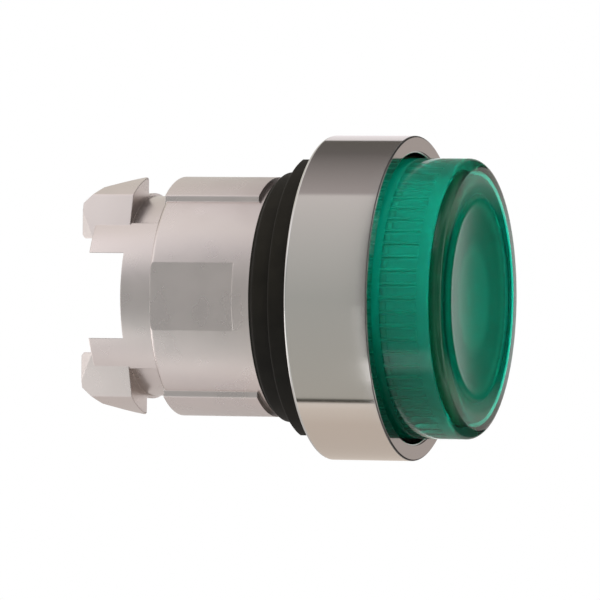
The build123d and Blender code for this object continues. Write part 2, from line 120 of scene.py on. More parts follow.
class BezelProps(PropertyGroup):
    """Polished bezel."""

    radius: FloatProperty(
        name="Radius", description="Outer radius", default=radius_of("bezel_ring"), unit="LENGTH",
    )
    wall: FloatProperty(
        name="Wall", description="Radial wall at the front", default=1.55 * MM, unit="LENGTH",
    )
    seat_wall: FloatProperty(
        name="Seat wall", description="Radial wall round the body flange", default=1.05 * MM,
        unit="LENGTH",
    )
    seat_depth: FloatProperty(
        name="Seat depth", description="Depth of the rear bore", default=2.1 * MM, unit="LENGTH",
    )
    front_round: FloatProperty(
        name="Front round", description="Rounding of the front edge", default=0.15 * MM,
        unit="LENGTH",
    )
    colour: FloatVectorProperty(
        name="Colour", description="Reflection of chromium", subtype="COLOR",
        default=linear("#c9c6c2"), min=0, max=1,
    )
    roughness: FloatProperty(
        name="Roughness", description="Blur of the polished plating", default=0.09, min=0, max=1,
        subtype="FACTOR",
    )


class GasketProps(PropertyGroup):
    """Rubber panel gasket."""

    flange_radius: FloatProperty(
        name="Flange radius", description="Radius of the flange", unit="LENGTH",
        default=radius_of("panel_gasket"),
    )
    bead_radius: FloatProperty(
        name="Bead radius", description="Radius in the panel hole", default=11.2 * MM,
        unit="LENGTH",
    )
    sleeve_radius: FloatProperty(
        name="Sleeve radius", description="Radius behind the bead", default=10.75 * MM,
        unit="LENGTH",
    )
    bore_radius: FloatProperty(
        name="Bore radius", description="Radius on the body", default=9.98 * MM, unit="LENGTH",
    )
    colour: FloatVectorProperty(
        name="Colour", description="Colour of the rubber", subtype="COLOR",
        default=linear("#15130f"), min=0, max=1,
    )


class LensProps(PropertyGroup):
    """Tinted lens cap."""

    radius: FloatProperty(
        name="Radius", description="Outer radius", default=radius_of("lens_cap"), unit="LENGTH",
    )
    wall: FloatProperty(
        name="Wall", description="Radial wall at the rear", default=1.1 * MM, unit="LENGTH",
    )
    front: FloatProperty(
        name="Front", description="Thickness of the front disc", default=1.3 * MM, unit="LENGTH",
    )
    edge_round: FloatProperty(
        name="Edge round", description="Rounding of the front edge", default=1.0 * MM,
        unit="LENGTH",
    )
    rim_drop: FloatProperty(
        name="Rim drop", description="Fall of the domed rim towards the edge", default=0.22 * MM,
        unit="LENGTH",
    )
    dish_radius: FloatProperty(
        name="Dish radius", description="Radius of the dished part", default=8.8 * MM,
        unit="LENGTH",
    )
    dish_depth: FloatProperty(
        name="Dish depth", description="Depth of the dish", default=0.6 * MM, unit="LENGTH",
    )
    flutes: IntProperty(
        name="Flutes", description="Grooves round the inside wall", default=60, min=3,
    )
    flute_inset: FloatProperty(
        name="Flute inset", description="From the front face to the flutes", default=2.4 * MM,
        unit="LENGTH",
    )
    flute_length: FloatProperty(
        name="Flute length", description="Length along the axis", default=3.35 * MM,
        unit="LENGTH",
    )
    flute_width: FloatProperty(
        name="Flute width", description="Width of a groove", default=0.14 * MM, unit="LENGTH",
    )
    flute_depth: FloatProperty(
        name="Flute depth", description="Depth of a groove", default=0.12 * MM, unit="LENGTH",
    )
    tint: FloatVectorProperty(
        name="Tint", description="Light that the dye lets through", subtype="COLOR",
        default=linear("#00f5ef"), min=0, max=1,
    )
    density: FloatProperty(
        name="Density", description="Absorption of the dye for each metre", default=2200, min=0,
    )
    haze: FloatProperty(
        name="Haze", description="Cloudiness of the glossy wall and rim", default=0.03, min=0,
        max=1, subtype="FACTOR",
    )
    dish_haze: FloatProperty(
        name="Dish haze", description="Cloudiness of the satin dish", default=0.06, min=0, max=1,
        subtype="FACTOR",
    )
    dish_roughness: FloatProperty(
        name="Dish roughness", description="Blur of the satin dish", default=0.22, min=0, max=1,
        subtype="FACTOR",
    )
    frost: FloatProperty(
        name="Frost", description="Cloudiness of the inner side of the front disc", default=0.85,
        min=0, max=1, subtype="FACTOR",
    )
    inner_haze: FloatProperty(
        name="Inner haze", description="Cloudiness of the fluted inner wall", default=0.2, min=0,
        max=1, subtype="FACTOR",
    )
    haze_colour: FloatVectorProperty(
        name="Haze colour", description="Light that the outer surface scatters", subtype="COLOR",
        default=linear("#0c9c80"), min=0, max=1,
    )


class SpringProps(PropertyGroup):
    """Return spring."""

    wire: FloatProperty(
        name="Wire", description="Diameter of the wire", default=0.6 * MM, unit="LENGTH",
    )
    turns: FloatProperty(name="Turns", description="Turns of the coil", default=7.0, min=1)


class StudioProps(PropertyGroup):
    """Camera, floor and light."""

    focal_length: FloatProperty(
        name="Focal length", description="In millimetres, on a 36 mm sensor", default=434.9,
        unit="CAMERA",
    )
    floor_drop: FloatProperty(
        name="Floor drop", description="Height of the axis over the floor", default=60 * MM,
        unit="LENGTH",
    )
    sky_level: FloatProperty(
        name="Sky level", description="World light on matt surfaces", default=0.6, min=0,
    )
    glass_level: FloatProperty(
        name="Glass level", description="World light that is seen through the lens", default=2.2,
        min=0,
    )
    key_power: FloatProperty(
        name="Key power", description="Power of the key softbox", default=6.0, unit="POWER",
    )
    fill_power: FloatProperty(
        name="Fill power", description="Power of the fill softbox", default=2.5, unit="POWER",
    )


class PushButtonProps(PropertyGroup):
    """All settings of the push button head."""

    body: PointerProperty(type=BodyProps)
    bezel: PointerProperty(type=BezelProps)
    gasket: PointerProperty(type=GasketProps)
    lens: PointerProperty(type=LensProps)
    spring: PointerProperty(type=SpringProps)
    studio: PointerProperty(type=StudioProps)


# Meshes

def new_object(name, data):
    """Object with this data, in the scene's own collection."""
    made = bpy.data.objects.new(name, data)
    bpy.context.scene.collection.objects.link(made)
    return made


def turn_corner(before, corner, after, radius):
    """Points of the arc that rounds a corner, with one point just outside each of its ends.

    Those two points keep the smooth shading of the arc off the flat faces beside it.
    """
    steps = 7
    support = 0.03 * MM
    there = (before - corner).normalized()
    onward = (after - corner).normalized()
    half = there.angle(onward) / 2
    reach = radius / math.tan(half)
    centre = corner + (there + onward).normalized() * (radius / math.sin(half))
    start = corner + there * reach
    end = corner + onward * reach
    first = start - centre
    sweep = first.angle_signed(end - centre, 0.0)
    points = [start + there * support]
    for i in range(steps + 1):
        turn = Matrix.Rotation(-sweep * i / steps, 2)
        points.append(centre + turn @ first)
    points.append(end + onward * support)
    return points


def rounded_outline(corners, closed=True):
    """Outline through corners (radius, y, rounding), in metres, with its corners rounded."""
    count = len(corners)
    points = []
    for i, (r, y, rounding) in enumerate(corners):
        corner = Vector((r, y))
        is_end = not closed and i in (0, count - 1)
        if rounding and not is_end:
            before = Vector(corners[i - 1][:2])
            after = Vector(corners[(i + 1) % count][:2])
            points += turn_corner(before, corner, after, rounding)
        else:
            points.append(corner)
    return points


def smooth_object(name, vertices, faces):
    """Object from vertices and faces, smooth but for its sharp edges."""
    mesh = bpy.data.meshes.new(name)
    mesh.from_pydata(vertices, [], faces)
    mesh.validate()
    mesh.shade_smooth()
    mesh.set_sharp_from_angle(angle=SHARP_ANGLE)
    return new_object(name, mesh)


def turned_mesh(name, outline, angles, closed=True, radius_at=None):
    """Revolve an outline of (radius, y) points about the Y axis.

    radius_at(point number, angle, radius) may change a radius, for flutes or flats. A point of
    the outline that lies on the axis gives one vertex.
    """
    on_axis = 1e-7
    vertices = []
    rows = []
    for index, point in enumerate(outline):
        if point.x < on_axis:
            rows.append([len(vertices)] * len(angles))
            vertices.append((0.0, point.y, 0.0))
            continue
        rows.append(range(len(vertices), len(vertices) + len(angles)))
        for angle in angles:
            r = radius_at(index, angle, point.x) if radius_at else point.x
            vertices.append((-r * math.cos(angle), point.y, r * math.sin(angle)))
    faces = []
    pairs = list(zip(rows, rows[1:]))
    if closed:
        pairs.append((rows[-1], rows[0]))
    for low, high in pairs:
        for k in range(len(angles)):
            n = (k + 1) % len(angles)
            corners = dict.fromkeys((low[k], low[n], high[n], high[k]))
            faces.append(tuple(corners))
    return smooth_object(name, vertices, faces)


def coil_mesh(name, radius, wire, front, rear, turns):
    """Round wire coiled about the Y axis, from its rear end round to its front end."""
    steps_per_turn = 48
    sides = 12
    steps = round(steps_per_turn * turns)
    climb = (rear - front) / (FULL_TURN * turns)
    vertices = []
    for i in range(steps + 1):
        angle = FULL_TURN * turns * i / steps
        out = Vector((math.cos(angle), 0, math.sin(angle)))
        along = Vector((-radius * out.z, -climb, radius * out.x)).normalized()
        across = along.cross(out)
        centre = out * radius + Vector((0, rear - climb * angle, 0))
        for k in range(sides):
            turn = FULL_TURN * k / sides
            vertices.append(centre + (out * math.cos(turn) + across * math.sin(turn)) * wire / 2)
    faces = []
    for i in range(steps):
        here = i * sides
        there = here + sides
        for k in range(sides):
            n = (k + 1) % sides
            faces.append((here + k, here + n, there + n, there + k))
    first_end = tuple(reversed(range(sides)))
    last_end = tuple(range(steps * sides, (steps + 1) * sides))
    return smooth_object(name, vertices, [*faces, first_end, last_end])


def dish_points(radius, depth, front):
    """Points (radius, y, rounding) of a spherical dish, from its middle towards its rim."""
    steps = 24
    sphere = (radius**2 + depth**2) / (2 * depth)
    centre = front + depth - sphere
    rim = math.asin(radius / sphere)
    return [
        (sphere * math.sin(rim * i / steps), centre + sphere * math.cos(rim * i / steps), 0)
        for i in range(steps)
    ]


def even_angles(count):
    """Angles that divide the full turn evenly."""
    return [FULL_TURN * i / count for i in range(count)]


# Materials

def add_node(tree, kind, values=None, links=None, **settings):
    """Add a node, set its own settings and its sockets' values, and link outputs into it."""
    made = tree.nodes.new(kind)
    for name, value in settings.items():
        setattr(made, name, value)
    for name, value in (values or {}).items():
        made.inputs[name].default_value = value
    for name, source in (links or {}).items():
        tree.links.new(source, made.inputs[name])
    return made


def new_material(name):
    """Empty material with its output node and object coordinates in metres."""
    material = bpy.data.materials.new(name)
    material.use_nodes = True
    tree = material.node_tree
    tree.nodes.clear()
    output = add_node(tree, "ShaderNodeOutputMaterial")
    coords = add_node(tree, "ShaderNodeTexCoord").outputs["Object"]
    return material, tree, output, coords


def mottle(tree, colour, pattern, darkest, lightest):
    """Mix of a darker and a lighter shade of one colour, by a pattern."""
    dark = rgba([c * darkest for c in colour])
    light = rgba([min(1.0, c * lightest) for c in colour])
    mix = add_node(
        tree, "ShaderNodeMix", {MIX_COLOUR_A: dark, MIX_COLOUR_B: light}, {MIX_FACTOR: pattern},
        data_type="RGBA",
    )
    return mix.outputs[MIX_COLOUR_OUT]


def give(piece, material):
    """Put the material in the piece's only slot."""
    piece.data.materials.clear()
    piece.data.materials.append(material)


def satin_plated_zinc(props):
    """Die-cast zinc under satin nickel: a soft, pinkish metal sheen with a fine cast grain."""
    material, tree, output, coords = new_material("satin_plated_zinc")
    # The real grain is too fine to show in the render, so it is drawn coarser, at 0.16 mm
    grain = add_node(
        tree, "ShaderNodeTexNoise", {"Scale": per_metre(0.16), "Detail": 3.0}, {"Vector": coords},
    )
    waves = add_node(
        tree, "ShaderNodeTexNoise", {"Scale": per_metre(2.6), "Detail": 2.0}, {"Vector": coords},
    )
    tone = mottle(tree, props.colour, waves.outputs["Fac"], 0.93, 1.05)
    rough = add_node(
        tree, "ShaderNodeMapRange",
        {"From Min": 0.3, "From Max": 0.7, "To Min": props.roughness * 0.85,
         "To Max": props.roughness * 1.15},
        {"Value": waves.outputs["Fac"]},
    )
    edges = add_node(tree, "ShaderNodeBevel", {"Radius": props.edge_round}, samples=6)
    bump = add_node(
        tree, "ShaderNodeBump", {"Strength": 0.14, "Distance": 0.006 * MM},
        {"Height": grain.outputs["Fac"], "Normal": edges.outputs["Normal"]},
    )
    shader = add_node(
        tree, "ShaderNodeBsdfPrincipled", {"Metallic": 1.0},
        {"Base Color": tone, "Roughness": rough.outputs["Result"],
         "Normal": bump.outputs["Normal"]},
    )
    tree.links.new(shader.outputs["BSDF"], output.inputs["Surface"])
    return material


def polished_chrome(props):
    """Chromium on a polished ring: sharp grey reflections that waver a little."""
    material, tree, output, coords = new_material("polished_chrome")
    waves = add_node(
        tree, "ShaderNodeTexNoise", {"Scale": per_metre(1.1), "Detail": 2.0}, {"Vector": coords},
    )
    bump = add_node(
        tree, "ShaderNodeBump", {"Strength": 0.2, "Distance": 0.004 * MM},
        {"Height": waves.outputs["Fac"]},
    )
    shader = add_node(
        tree, "ShaderNodeBsdfPrincipled",
        {"Metallic": 1.0, "Base Color": rgba(props.colour), "Roughness": props.roughness},
        {"Normal": bump.outputs["Normal"]},
    )
    tree.links.new(shader.outputs["BSDF"], output.inputs["Surface"])
    return material


def moulded_rubber(props):
    """Nitrile rubber: matt brown-black with a fine mould grain and a faint sheen."""
    material, tree, output, coords = new_material("moulded_nitrile_rubber")
    # The mould's grain is too fine to show in the render, so it is drawn coarser, at 0.12 mm
    grain = add_node(
        tree, "ShaderNodeTexNoise", {"Scale": per_metre(0.12), "Detail": 2.0}, {"Vector": coords},
    )
    clouds = add_node(
        tree, "ShaderNodeTexNoise", {"Scale": per_metre(1.8), "Detail": 3.0}, {"Vector": coords},
    )
    tone = mottle(tree, props.colour, clouds.outputs["Fac"], 0.6, 1.4)
    bump = add_node(
        tree, "ShaderNodeBump", {"Strength": 0.3, "Distance": 0.01 * MM},
        {"Height": grain.outputs["Fac"]},
    )
    shader = add_node(
        tree, "ShaderNodeBsdfPrincipled",
        {"Roughness": 0.6, "IOR": 1.52, "Specular IOR Level": 0.12},
        {"Base Color": tone, "Normal": bump.outputs["Normal"]},
    )
    tree.links.new(shader.outputs["BSDF"], output.inputs["Surface"])
    return material


def painted_light_rings(tree, from_axis, reach):
    """Painted light: soft rings that the light passage and the reflector throw on a frosted disc,
    painted into the disc's colour.
    """
    place = add_node(
        tree, "ShaderNodeMapRange", {"From Max": reach}, {"Value": from_axis},
    )
    ramp = add_node(tree, "ShaderNodeValToRGB", None, {"Fac": place.outputs["Result"]})
    ramp.color_ramp.interpolation = "EASE"
    stops = ramp.color_ramp.elements
    stops[0].color = rgba(linear("#b4f0dc"))
    stops[1].color = rgba(linear("#d8fff4"))
    for share, tone in (
        (0.32, "#b4f0dc"), (0.45, "#80c8b6"), (0.6, "#80c8b6"), (0.72, "#c0f4e4"), (0.8, "#d8fff4"),
    ):
        stops.new(share).color = rgba(linear(tone))
    return ramp


def lens_cloudiness(tree, props, floor, from_axis, y, dish_rim):
    """Where the inner side of the cap is, and the share of light that each place scatters.

    Outside, the satin dish is a little cloudy and the wall and rim are nearly clear. Inside, the
    disc behind the dish is frosted, and the flutes are cloudier than the wall between them.
    """
    core = props.radius - props.wall - props.flute_depth
    behind_floor = floor - 0.03 * MM
    past_floor = floor + 0.05 * MM
    clear_floor = 0.02
    cloudy = add_node(
        tree, "ShaderNodeMapRange", {**dish_rim, "To Min": props.dish_haze, "To Max": props.haze},
        {"Value": from_axis}, interpolation_type="SMOOTHSTEP",
    )
    behind = add_node(
        tree, "ShaderNodeMath", {1: behind_floor}, {0: y}, operation="GREATER_THAN",
    )
    within = add_node(
        tree, "ShaderNodeMath", {1: props.radius - props.wall / 2}, {0: from_axis},
        operation="LESS_THAN",
    )
    inside = add_node(
        tree, "ShaderNodeMath", None, {0: behind.outputs[0], 1: within.outputs[0]},
        operation="MULTIPLY",
    ).outputs[0]
    frosted = add_node(
        tree, "ShaderNodeMapRange",
        {"From Min": props.dish_radius - 0.2 * MM, "From Max": props.dish_radius + 0.8 * MM,
         "To Min": props.frost, "To Max": clear_floor},
        {"Value": from_axis},
    )
    grooved = add_node(
        tree, "ShaderNodeMapRange",
        {"From Min": core - 0.02 * MM, "From Max": core + 0.05 * MM,
         "To Min": props.inner_haze, "To Max": 3 * props.inner_haze},
        {"Value": from_axis},
    )
    on_wall = add_node(
        tree, "ShaderNodeMath", {1: past_floor}, {0: y}, operation="GREATER_THAN",
    )
    inner = add_node(
        tree, "ShaderNodeMix", None,
        {MIX_FACTOR: on_wall.outputs[0], MIX_FLOAT_A: frosted.outputs["Result"],
         MIX_FLOAT_B: grooved.outputs["Result"]},
        data_type="FLOAT",
    )
    share = add_node(
        tree, "ShaderNodeMix", None,
        {MIX_FACTOR: inside, MIX_FLOAT_A: cloudy.outputs["Result"],
         MIX_FLOAT_B: inner.outputs[MIX_FLOAT_OUT]},
        data_type="FLOAT",
    )
    return inside, share.outputs[MIX_FLOAT_OUT]


def tinted_acrylic(props, floor):
    """Acrylic dyed green: clear glossy wall and rim, satin dish, and frost behind the dish."""
    material, tree, output, coords = new_material("tinted_acrylic")
    waves = add_node(
        tree, "ShaderNodeTexNoise", {"Scale": per_metre(2.2), "Detail": 1.0}, {"Vector": coords},
    )
    bump = add_node(
        tree, "ShaderNodeBump", {"Strength": 0.15, "Distance": 0.006 * MM},
        {"Height": waves.outputs["Fac"]},
    )
    across = add_node(
        tree, "ShaderNodeVectorMath", {1: (1, 0, 1)}, {0: coords}, operation="MULTIPLY",
    )
    from_axis = add_node(
        tree, "ShaderNodeVectorMath", None, {0: across.outputs["Vector"]}, operation="LENGTH",
    ).outputs["Value"]
    along = add_node(tree, "ShaderNodeSeparateXYZ", None, {"Vector": coords})
    dish_rim = {"From Min": props.dish_radius - 0.8 * MM, "From Max": props.dish_radius + 0.5 * MM}
    glossy = 0.05
    rough = add_node(
        tree, "ShaderNodeMapRange", {**dish_rim, "To Min": props.dish_roughness, "To Max": glossy},
        {"Value": from_axis}, interpolation_type="SMOOTHSTEP",
    )
    inside, share = lens_cloudiness(
        tree, props, floor, from_axis, along.outputs["Y"], dish_rim,
    )
    clear = add_node(
        tree, "ShaderNodeBsdfPrincipled",
        {"Base Color": rgba(linear("#f4fffc")), "IOR": 1.49, "Transmission Weight": 1.0},
        {"Roughness": rough.outputs["Result"], "Normal": bump.outputs["Normal"]},
    )
    rings = painted_light_rings(tree, from_axis, props.radius)
    # The inner side takes the painted rings of light as its colour, and the outer side takes the
    # haze colour
    cloud_tone = add_node(
        tree, "ShaderNodeMix", {MIX_COLOUR_A: rgba(props.haze_colour)},
        {MIX_FACTOR: inside, MIX_COLOUR_B: rings.outputs["Color"]}, data_type="RGBA",
    )
    cloud = add_node(
        tree, "ShaderNodeBsdfDiffuse", None, {"Color": cloud_tone.outputs[MIX_COLOUR_OUT]},
    )
    both = add_node(
        tree, "ShaderNodeMixShader", None,
        {0: share, 1: clear.outputs["BSDF"], 2: cloud.outputs["BSDF"]},
    )
    dye = add_node(
        tree, "ShaderNodeVolumeAbsorption", {"Color": rgba(props.tint), "Density": props.density},
    )
    tree.links.new(both.outputs["Shader"], output.inputs["Surface"])
    tree.links.new(dye.outputs["Volume"], output.inputs["Volume"])
    return material


def moulded_plastic(name, hex_colour, roughness, subsurface=0.0):
    """Moulded plastic: an even colour with a faint mottle and a fine spark-eroded grain."""
    material, tree, output, coords = new_material(name)
    colour = linear(hex_colour)
    # The mould's grain is too fine to show in the render, so it is drawn coarser, at 0.1 mm
    grain = add_node(
        tree, "ShaderNodeTexNoise", {"Scale": per_metre(0.1), "Detail": 2.0}, {"Vector": coords},
    )
    clouds = add_node(
        tree, "ShaderNodeTexNoise", {"Scale": per_metre(3.0), "Detail": 2.0}, {"Vector": coords},
    )
    tone = mottle(tree, colour, clouds.outputs["Fac"], 0.94, 1.05)
    edges = add_node(tree, "ShaderNodeBevel", {"Radius": 0.08 * MM}, samples=6)
    bump = add_node(
        tree, "ShaderNodeBump", {"Strength": 0.2, "Distance": 0.005 * MM},
        {"Height": grain.outputs["Fac"], "Normal": edges.outputs["Normal"]},
    )
    shader = add_node(
        tree, "ShaderNodeBsdfPrincipled",
        {"Roughness": roughness, "IOR": 1.5, "Subsurface Weight": subsurface,
         "Subsurface Scale": 0.8 * MM},
        {"Base Color": tone, "Normal": bump.outputs["Normal"]},
    )
    tree.links.new(shader.outputs["BSDF"], output.inputs["Surface"])
    return material


def drawn_steel():
    """Drawn and zinc-plated spring steel: grey metal with a fine, uneven sheen."""
    material, tree, output, coords = new_material("drawn_spring_steel")
    # The plating's grain is too fine to show in the render, so it is drawn coarser, at 0.08 mm
    grain = add_node(
        tree, "ShaderNodeTexNoise", {"Scale": per_metre(0.08), "Detail": 2.0}, {"Vector": coords},
    )
    rough = add_node(
        tree, "ShaderNodeMapRange", {"To Min": 0.24, "To Max": 0.4},
        {"Value": grain.outputs["Fac"]},
    )
    edges = add_node(tree, "ShaderNodeBevel", {"Radius": 0.05 * MM}, samples=6)
    bump = add_node(
        tree, "ShaderNodeBump", {"Strength": 0.2, "Distance": 0.003 * MM},
        {"Height": grain.outputs["Fac"], "Normal": edges.outputs["Normal"]},
    )
    shader = add_node(
        tree, "ShaderNodeBsdfPrincipled",
        {"Metallic": 1.0, "Base Color": rgba(linear("#b9b8b4"))},
        {"Roughness": rough.outputs["Result"], "Normal": bump.outputs["Normal"]},
    )
    tree.links.new(shader.outputs["BSDF"], output.inputs["Surface"])
    return material


# Operators: the camera, each piece or group of like pieces, and the stage

class PUSHBUTTON_OT_camera(Operator):
    """Make the camera: a long lens level with the axis, 72 degrees round from the lens face"""

    bl_idname = "pushbutton.camera"
    bl_label = "Camera"

    def execute(self, context):
        props = context.scene.push_button.studio
        place = Vector((-616.51, -202.68, 1.78)) * MM
        look = Vector((0.94948, 0.31383, -0.00312))
        roll = math.radians(0.54)
        data = bpy.data.cameras.new("camera")
        data.lens = props.focal_length
        data.sensor_width = 36.0
        data.clip_start = 0.05
        data.clip_end = 10.0
        camera = new_object("camera", data)
        turn = look.to_track_quat("-Z", "Y").to_matrix() @ Matrix.Rotation(roll, 3, "Z")
        camera.matrix_world = Matrix.LocRotScale(place, turn.to_quaternion(), None)
        context.scene.camera = camera
        return {"FINISHED"}


class PUSHBUTTON_OT_body(Operator):
    """Finish the cast body in satin plating"""

    bl_idname = "pushbutton.body"
    bl_label = "Cast body"

    def execute(self, context):
        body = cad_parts["barrel_body"]
        give(body, satin_plated_zinc(context.scene.push_button.body))
        return {"FINISHED"}


class PUSHBUTTON_OT_bezel(Operator):
    """Turn the polished bezel, with its rounded edges and stepped bore"""

    bl_idname = "pushbutton.bezel"
    bl_label = "Bezel"

    def execute(self, context):
        props = context.scene.push_button.bezel
        low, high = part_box("bezel_ring")
        bore = props.radius - props.wall
        seat = props.radius - props.seat_wall
        step_y = high.y - props.seat_depth
        bore_round = 0.2 * MM
        rear_round = 0.3 * MM
        seat_round = 0.08 * MM
        outline = rounded_outline([
            (bore, low.y, bore_round),
            (props.radius, low.y, props.front_round),
            (props.radius, high.y, rear_round),
            (seat, high.y, seat_round),
            (seat, step_y, 0),
            (bore, step_y, 0),
        ])
        bezel = turned_mesh("polished_bezel", outline, even_angles(300))
        give(bezel, polished_chrome(props))
        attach(bezel, "housing")
        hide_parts("bezel_ring")
        return {"FINISHED"}


class PUSHBUTTON_OT_gasket(Operator):
    """Turn the rubber gasket: flange, bead and sleeve"""

    bl_idname = "pushbutton.gasket"
    bl_label = "Panel gasket"

    def execute(self, context):
        props = context.scene.push_button.gasket
        low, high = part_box("panel_gasket")
        panel_y = 0.0
        bead_end = 1.9 * MM
        bead_slope = 0.3 * MM
        front_round = 0.1 * MM
        rim_round = 0.2 * MM
        foot_round = 0.12 * MM
        sleeve_round = 0.08 * MM
        outline = rounded_outline([
            (props.bore_radius, low.y, 0),
            (props.flange_radius, low.y, front_round),
            (props.flange_radius, panel_y, rim_round),
            (props.bead_radius, panel_y, foot_round),
            (props.bead_radius, bead_end, rim_round),
            (props.sleeve_radius, bead_end + bead_slope, sleeve_round),
            (props.sleeve_radius, high.y, sleeve_round),
            (props.bore_radius, high.y, 0),
        ])
        flat = high.z

        def flattened(index, angle, radius):
            """Radius cut off at the flats above and below."""
            height = radius * abs(math.sin(angle))
            return radius * min(1.0, flat / height) if height else radius

        gasket = turned_mesh("rubber_gasket", outline, even_angles(360), radius_at=flattened)
        give(gasket, moulded_rubber(props))
        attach(gasket, "housing")
        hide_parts("panel_gasket")
        return {"FINISHED"}


class PUSHBUTTON_OT_lens(Operator):
    """Turn the green lens cap, with its dish and the flutes inside its wall"""

    bl_idname = "pushbutton.lens"
    bl_label = "Lens cap"

    def execute(self, context):
        props = context.scene.push_button.lens
        low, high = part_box("lens_cap")
        seat = props.radius - props.wall
        core = seat - props.flute_depth
        floor = low.y + props.front
        flute_start = low.y + props.flute_inset
        flute_end = flute_start + props.flute_length
        rim_crest = props.dish_radius + 1.6 * MM
        dish_round = 4.0 * MM
        crest_round = 8.0 * MM
        rear_round = 0.15 * MM
        seat_round = 0.1 * MM
        outline = rounded_outline(
            [
                *dish_points(props.dish_radius, props.dish_depth, low.y),
                (props.dish_radius, low.y, dish_round),
                (rim_crest, low.y, crest_round),
                (props.radius, low.y + props.rim_drop, props.edge_round),
                (props.radius, high.y, rear_round),
                (seat, high.y, seat_round),
                (seat, flute_end, 0),
                (core, flute_end, 0),
                (core, flute_start, 0),
                (core, flute_start, 0),
                (core, floor, 0),
                (0, floor, 0),
            ],
            closed=False,
        )
        # The first two of the four points on the core are cut by the flutes. The third, which
        # isn't, makes the end wall of each flute.
        fluted = {len(outline) - 5, len(outline) - 4}
        pitch = FULL_TURN / props.flutes
        lip = props.flute_width / 2 / core

        def flute(index, angle, radius):
            """Radius at the bottom of a groove, or on the flat facet between two grooves."""
            if index not in fluted:
                return radius
            off = abs((angle + pitch / 2) % pitch - pitch / 2)
            if off < lip * 0.5:
                return seat
            half = pitch / 2 - lip
            return core * math.cos(half) / math.cos(pitch / 2 - off)

        # Each pitch has the two lips and the middle of a groove, and three points on the facet
        offsets = [-lip, 0.0, lip, pitch * 0.3, pitch * 0.5, pitch * 0.7]
        angles = [i * pitch + off for i in range(props.flutes) for off in offsets]
        lens = turned_mesh("green_lens", outline, angles, closed=False, radius_at=flute)
        give(lens, tinted_acrylic(props, floor))
        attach(lens, "button")
        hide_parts("lens_cap")
        return {"FINISHED"}


class PUSHBUTTON_OT_light_parts(Operator):
    """Finish the milky diffuser and the white reflector behind the lens"""

    bl_idname = "pushbutton.light_parts"
    bl_label = "Diffuser and reflector"

    def execute(self, context):
        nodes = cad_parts
        # Opal acrylic: milky, because light spreads inside it
        give(nodes["light_diffuser"], moulded_plastic("opal_acrylic", "#e6ece6", 0.3, 0.3))
        # White ABS: an even, warm white with a low gloss
        give(nodes["reflector_cone"], moulded_plastic("white_abs", "#ecebe5", 0.35))
        return {"FINISHED"}


class PUSHBUTTON_OT_slide_parts(Operator):
    """Finish the white plunger, and its guide bush and crown in natural plastic"""

    bl_idname = "pushbutton.slide_parts"
    bl_label = "Plunger, bush and crown"

    def execute(self, context):
        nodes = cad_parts
        give(nodes["plunger"], bpy.data.materials["white_abs"])
        # Natural acetal: ivory, with a satin, waxy gloss
        natural = moulded_plastic("natural_acetal", "#dcd8cb", 0.42)
        for name in ("guide_bush", "pusher_crown"):
            give(nodes[name], natural)
        return {"FINISHED"}


class PUSHBUTTON_OT_seals(Operator):
    """Finish the rubber seals inside"""

    bl_idname = "pushbutton.seals"
    bl_label = "Seals"

    def execute(self, context):
        rubber = bpy.data.materials["moulded_nitrile_rubber"]
        for name in ("bezel_o_ring", "lip_seal", "stop_ring"):
            give(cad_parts[name], rubber)
        # Silicone rubber: pale and nearly matt, and light spreads a little inside it
        give(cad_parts["lens_o_ring"], moulded_plastic("silicone_rubber", "#d8d8d0", 0.5, 0.2))
        return {"FINISHED"}


class PUSHBUTTON_OT_steel_parts(Operator):
    """Finish the washers and the snap ring in steel"""

    bl_idname = "pushbutton.steel_parts"
    bl_label = "Washers and snap ring"

    def execute(self, context):
        steel = drawn_steel()
        for name in ("seal_washer", "thrust_washer", "crown_snap_ring"):
            give(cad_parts[name], steel)
        return {"FINISHED"}


class PUSHBUTTON_OT_spring(Operator):
    """Coil the return spring"""

    bl_idname = "pushbutton.spring"
    bl_label = "Return spring"

    def execute(self, context):
        props = context.scene.push_button.spring
        low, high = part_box("return_spring")
        reach = props.wire / 2
        spring = coil_mesh(
            "coil_spring", high.x - reach, props.wire, low.y + reach, high.y - reach, props.turns,
        )
        give(spring, bpy.data.materials["drawn_spring_steel"])
        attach(spring, "housing")
        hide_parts("return_spring")
        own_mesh(spring)
        return {"FINISHED"}


# Studio

# Tones round each tent, as (degrees, colour). At 0 the tent is level with the axis on the
# camera's side, at 90 above it and at -90 below.
FRONT_TONES = (
    (-160, "#d8ccc2"), (-90, "#e6d8cd"), (-76, "#f4e8de"), (-71, "#fff6ee"), (-70, "#3c3a32"),
    (-68, "#3c3a32"), (-67, "#c8c5be"), (0, "#c4c5c2"), (30, "#d6d5d3"), (68, "#ece7e6"),
    (70, "#beb6b6"), (112, "#787371"), (135, "#6b6762"), (137, "#fdf6f8"), (160, "#fdf6f8"),
)
AHEAD_TONES = (
    (-160, "#d0ccca"), (-90, "#e8e4e2"), (-50, "#c8c8c8"), (-20, "#b0b2b2"), (30, "#b8baba"),
    (60, "#f0eeee"), (100, "#f4f2f2"), (160, "#d4d0ce"),
)
LENS_TONES = (
    (-160, "#989490"), (-90, "#a09c98"), (-58, "#949292"), (-52, "#ffffff"), (-42, "#ffffff"),
    (-36, "#8c8e8c"), (-18, "#808280"), (24, "#787a78"), (60, "#747474"), (100, "#6c6a6a"),
    (130, "#706e6e"), (160, "#989490"),
)
REAR_TONES = (
    (-160, "#c0bcb9"), (-86, "#d7d5d7"), (-68, "#ffffff"), (-50, "#c8cece"), (-24, "#a8abab"),
    (24, "#a8abab"), (44, "#d3d3d8"), (66, "#ffffff"), (92, "#fbf8fb"), (115, "#dedad8"),
    (160, "#cccac3"),
)


